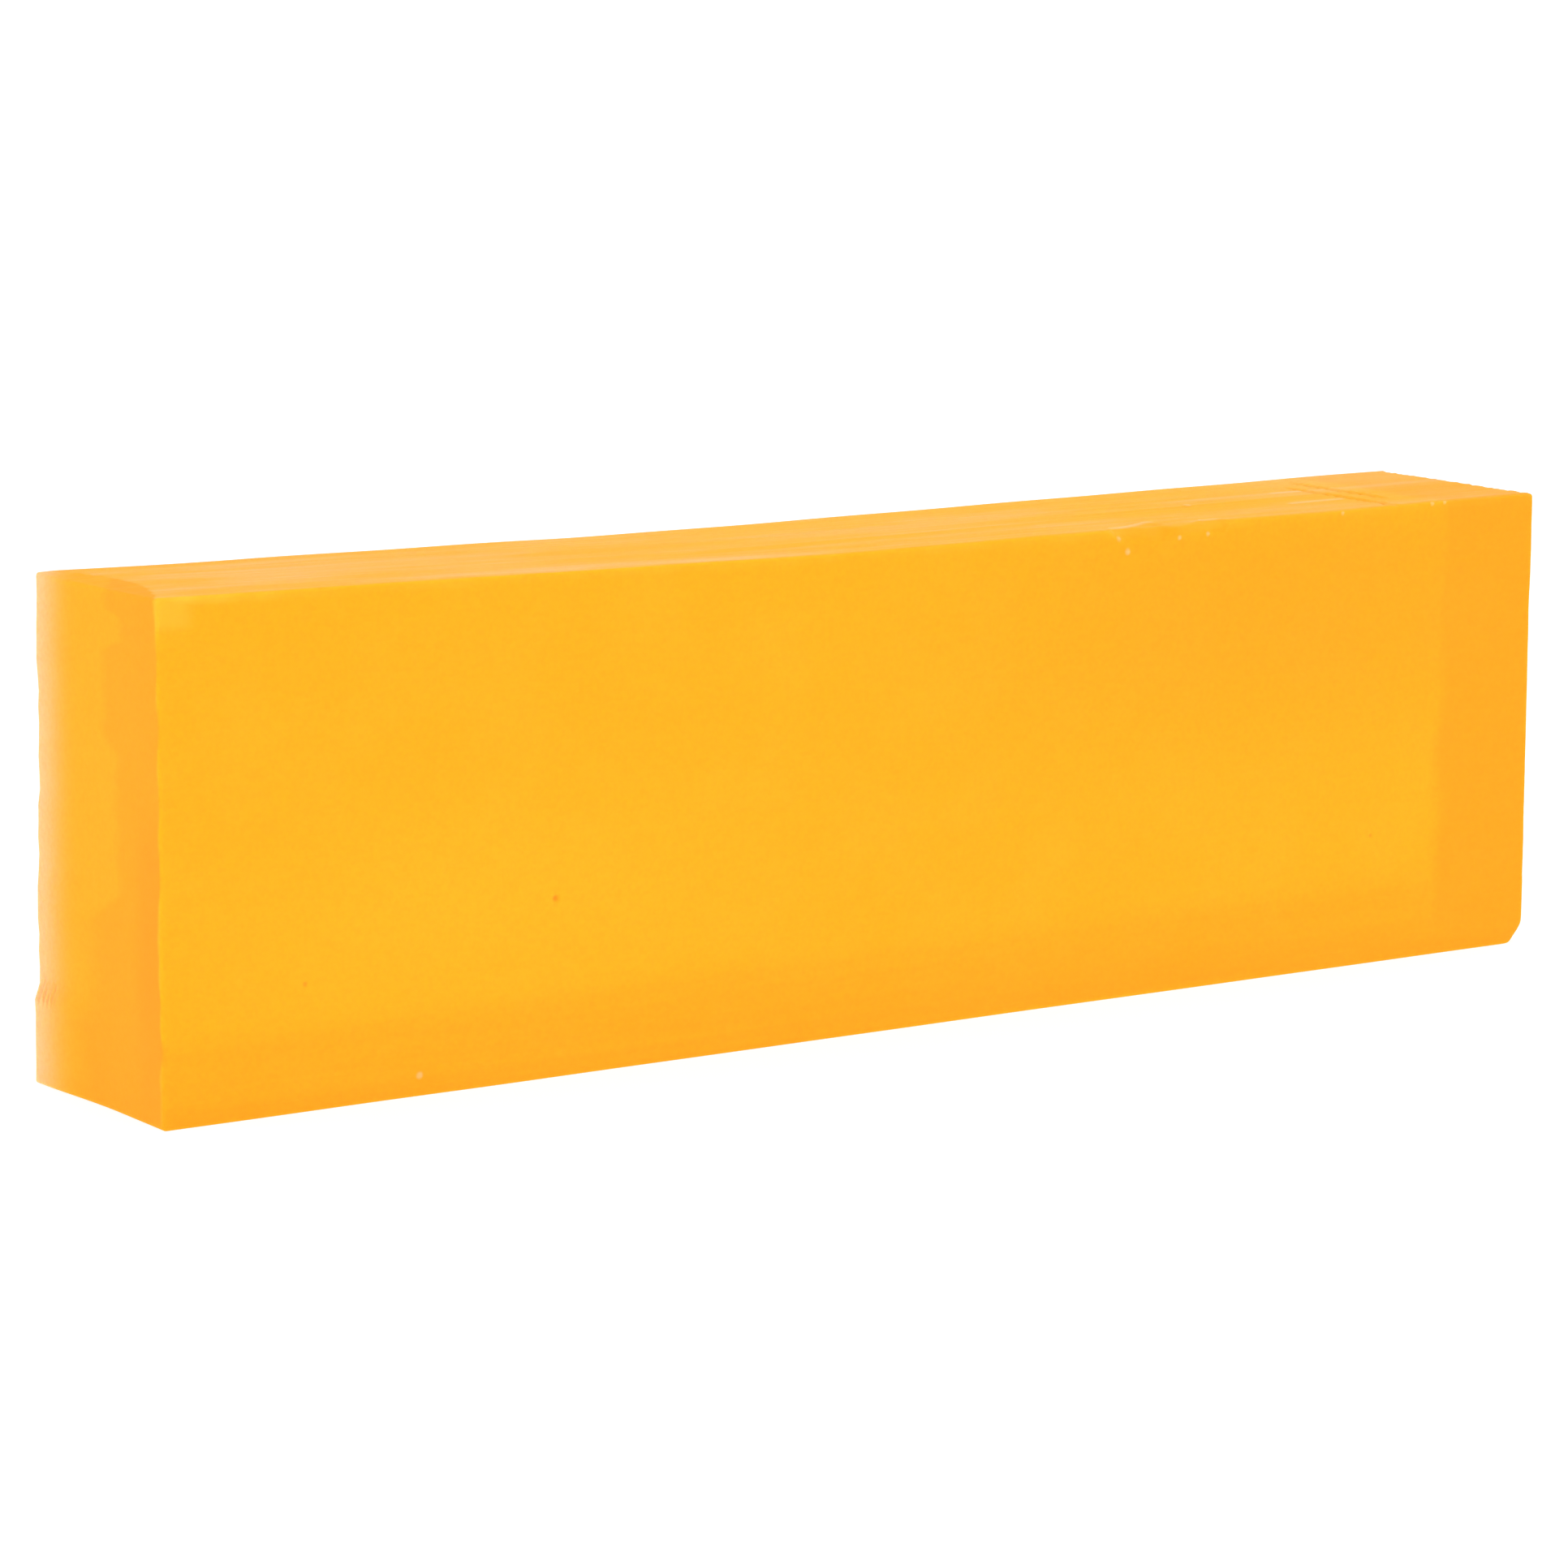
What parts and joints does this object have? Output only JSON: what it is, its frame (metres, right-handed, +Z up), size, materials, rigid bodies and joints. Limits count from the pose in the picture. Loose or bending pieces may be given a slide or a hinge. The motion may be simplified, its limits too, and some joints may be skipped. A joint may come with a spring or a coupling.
{
  "type": "clay bar",
  "caption": "Rectangular bar of soft, translucent detailing clay, extruded and knife cut, standing on its long narrow side, for rubbing grime off car paint.",
  "frame": {"origin": "centre of the long narrow side that the bar stands on", "axes": "+X along the bar's length, -Y out of the front broad face, +Z up"},
  "size_m": [0.115, 0.017, 0.034],
  "materials": {
    "clay": "waxy, translucent, soft satin"
  },
  "bodies": {
    "root": {"clay_bar": "clay"}
  },
  "joints": []
}
